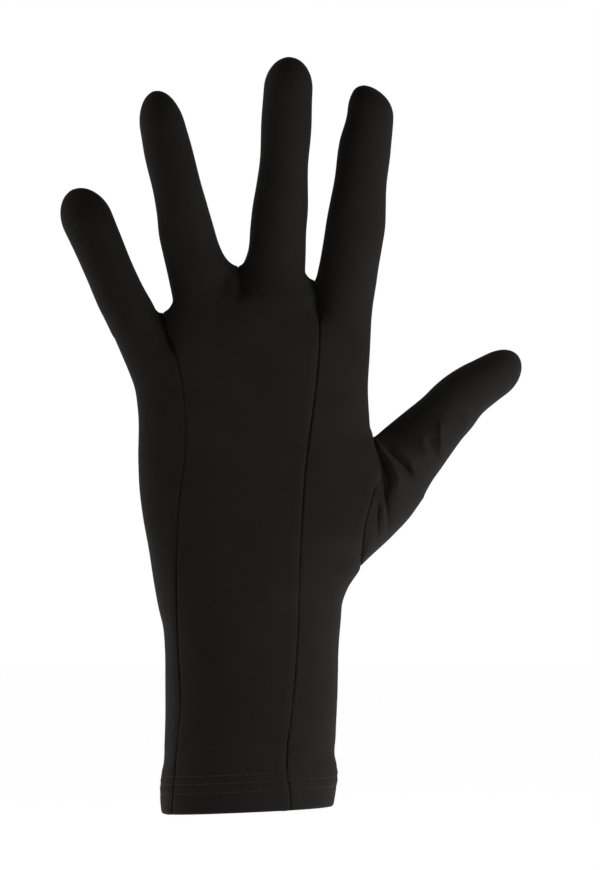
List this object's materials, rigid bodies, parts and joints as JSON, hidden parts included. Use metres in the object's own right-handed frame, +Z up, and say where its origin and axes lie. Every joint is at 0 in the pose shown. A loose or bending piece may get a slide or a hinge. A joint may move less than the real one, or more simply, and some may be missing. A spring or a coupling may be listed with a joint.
{
  "type": "glove liner",
  "caption": "Thin knitted full-finger glove liner with a long cuff and turned hem, in its worn form with the fingers spread",
  "frame": {"origin": "centre of the wrist opening, at the hem's edge", "axes": "+Z runs up the hand to the fingertips, +Y points out of the palm, +X points to the thumb's side"},
  "size_m": [0.1683, 0.0464, 0.2746],
  "materials": {
    "knit": "matte fine jersey knit, black"
  },
  "bodies": {
    "root": {"back_panel": "knit", "little_panel": "knit", "index_panel": "knit", "palm_panel": "knit", "thumb": "knit", "cuff_hem": "knit"}
  },
  "joints": []
}
